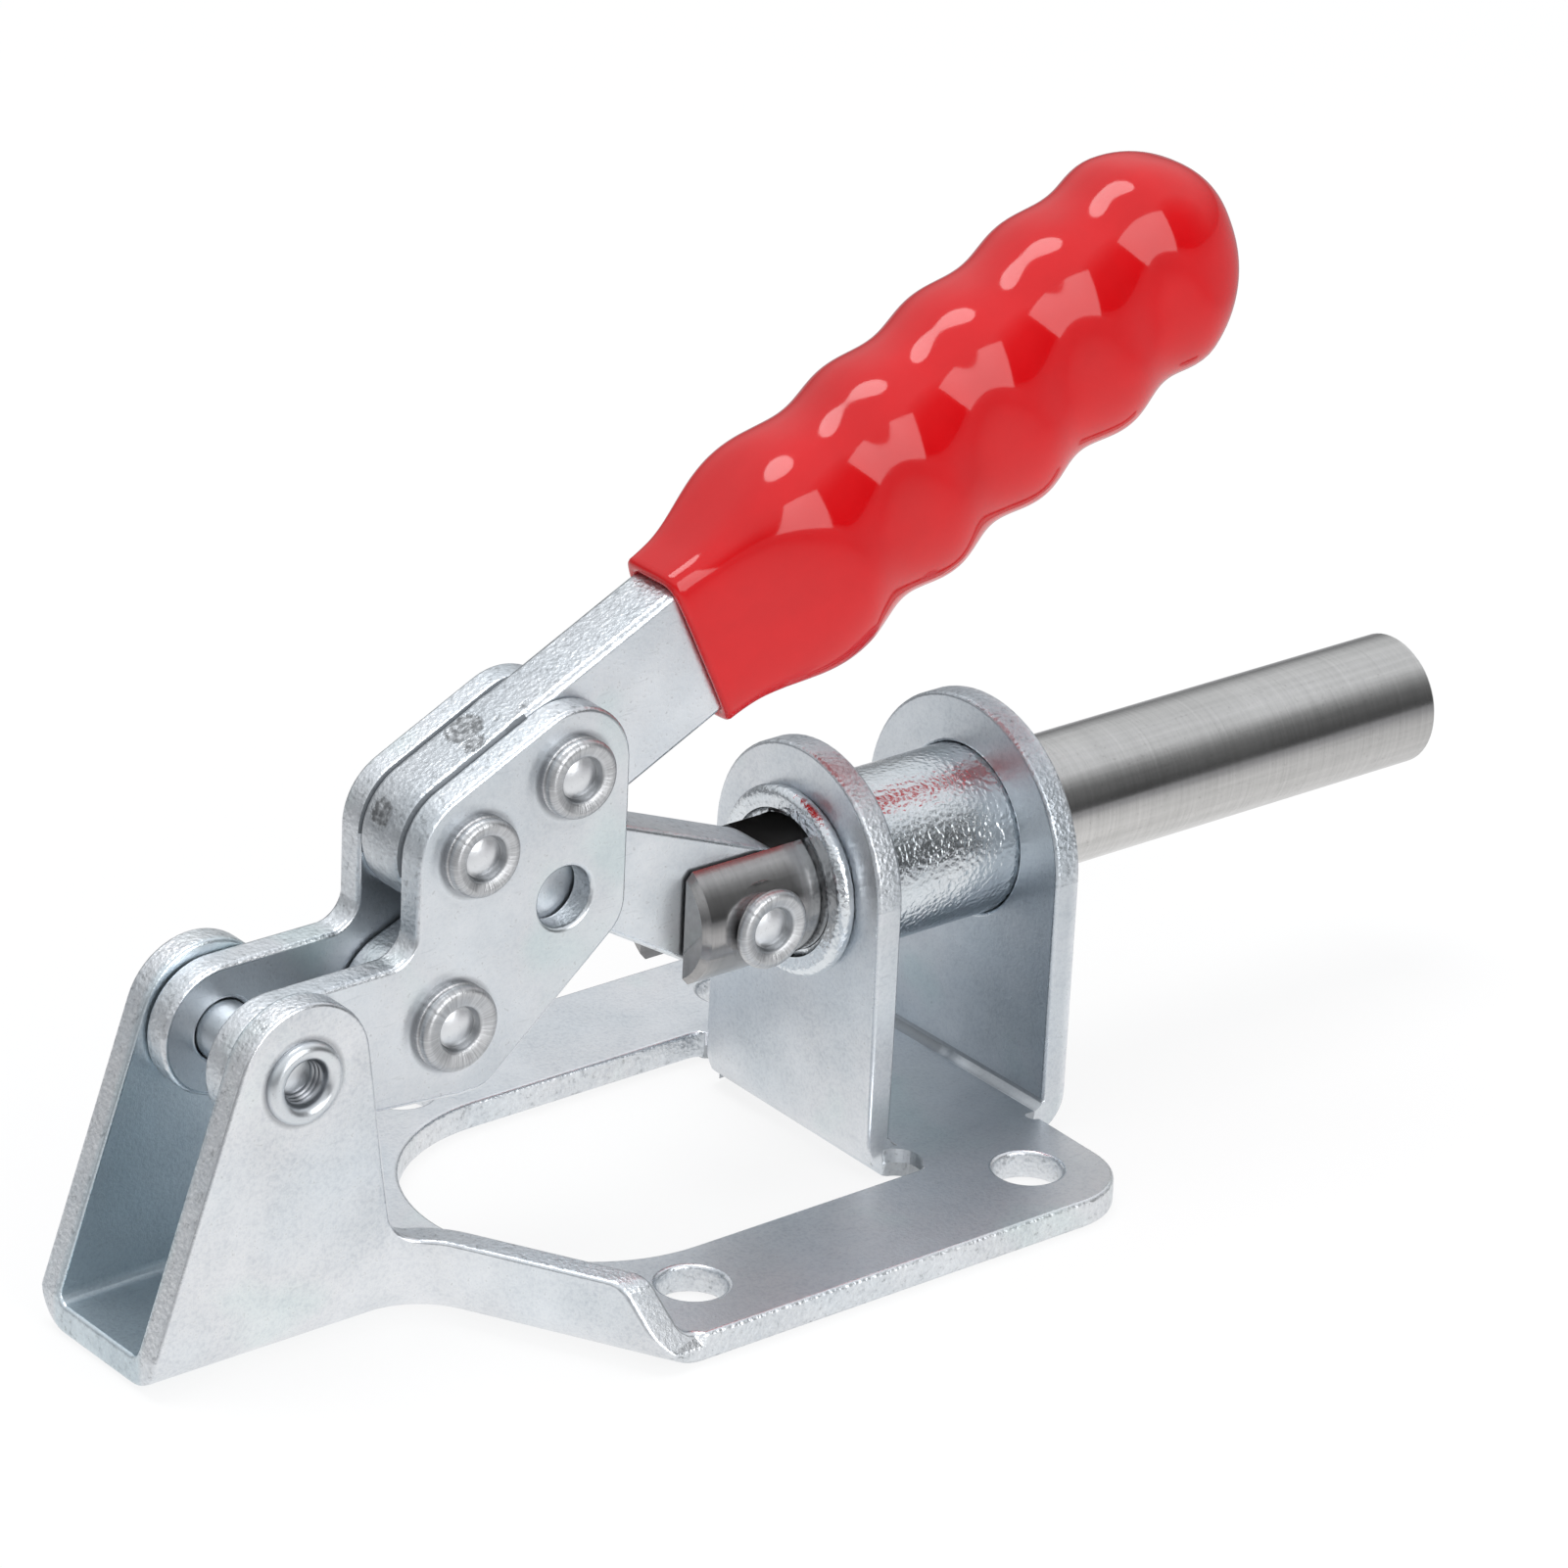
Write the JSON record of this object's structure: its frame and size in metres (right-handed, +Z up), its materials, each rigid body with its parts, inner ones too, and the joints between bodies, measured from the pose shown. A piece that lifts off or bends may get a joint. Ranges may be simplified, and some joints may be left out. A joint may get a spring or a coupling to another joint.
{
  "type": "push-pull toggle clamp",
  "caption": "Straight-line toggle clamp: a lever with a red dipped grip pushes a round plunger through a guide bush on a flanged sheet base.",
  "frame": {"origin": "centre of the mounting hole pattern, on the base's underside", "axes": "+X along the plunger towards its tip, +Z up off the base, -Y is the side whose rivet heads are rolled"},
  "size_m": [0.1407, 0.056, 0.0831],
  "materials": {
    "zinc_plated_steel": "zinc plated, satin with a faint blue sheen",
    "ground_steel": "ground and plated, fine turning lines",
    "red_grip": "glossy dipped vinyl"
  },
  "bodies": {
    "base_body": {"base": "zinc_plated_steel", "guide_bush": "zinc_plated_steel", "base_pivot_rivet": "zinc_plated_steel"},
    "handle_body": {"near_plate": "zinc_plated_steel", "far_plate": "zinc_plated_steel", "handle_bar": "zinc_plated_steel", "grip": "red_grip", "link_rivet": "zinc_plated_steel", "handle_rivet_lower": "zinc_plated_steel", "handle_rivet_upper": "zinc_plated_steel"},
    "link_body": {"link": "zinc_plated_steel", "link_eye_pin": "zinc_plated_steel"},
    "plunger_body": {"plunger": "ground_steel", "plunger_rivet": "zinc_plated_steel"}
  },
  "joints": [
    {"name": "handle_pivot", "type": "hinge", "parent": "base_body", "child": "handle_body", "pos_m": [-0.04895, 0, 0.02465], "axis": [0, -1, 0], "range_deg": [0, 150]},
    {"name": "link_pivot", "type": "hinge", "parent": "handle_body", "child": "link_body", "pos_m": [-0.03226, 0, 0.02398], "axis": [0, -1, 0], "range_deg": [-168, 0]},
    {"name": "plunger_slide", "type": "slide", "parent": "base_body", "child": "plunger_body", "axis": [1, 0, 0], "range_m": [-0.0323, 0]}
  ],
  "couplings": [
    {"joint": "link_pivot", "follows": "handle_pivot", "ratio": -1.1151},
    {"joint": "plunger_slide", "follows": "handle_pivot", "m_per_rad": -0.012264}
  ]
}
